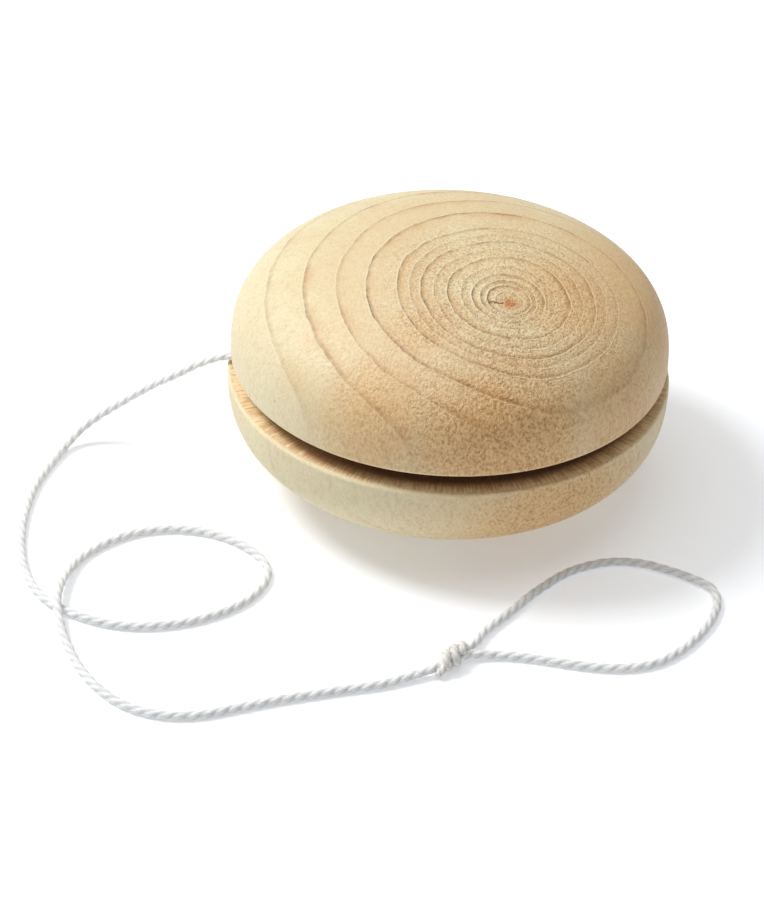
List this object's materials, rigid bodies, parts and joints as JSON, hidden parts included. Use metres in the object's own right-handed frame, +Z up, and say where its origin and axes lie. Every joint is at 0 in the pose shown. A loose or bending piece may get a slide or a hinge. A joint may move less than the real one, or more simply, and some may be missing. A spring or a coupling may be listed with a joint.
{
  "type": "yo-yo",
  "caption": "Turned wooden yo-yo: domed halves glued on a dowel axle, with a cotton string wound in the groove, led out and ending in a knotted finger loop.",
  "frame": {"origin": "middle of the small flat of the lower half's domed face, on the surface that the yo-yo lies on", "axes": "+Z up along the axle; the string leaves the groove towards -X and its finger loop lies towards -Y"},
  "size_m": [0.091, 0.0857, 0.0332],
  "materials": {
    "turned_wood": "bare pale hardwood, fine sanded and lightly waxed, end grain on the domed faces",
    "dowel_wood": "bare hardwood dowel, straight long grain",
    "cotton_string": "white three-ply twisted cotton, matt and slightly fuzzy"
  },
  "bodies": {
    "string": {"string_axle_loop": "cotton_string", "string_winding": "cotton_string", "string_run": "cotton_string", "finger_knot": "cotton_string", "finger_loop": "cotton_string"},
    "yo_yo": {"upper_half": "turned_wood", "lower_half": "turned_wood", "axle": "dowel_wood"}
  },
  "joints": [
    {"name": "spin", "type": "hinge", "parent": "string", "child": "yo_yo", "pos_m": [0, 0, 0.0166], "axis": [0, 0, 1], "continuous": true}
  ]
}
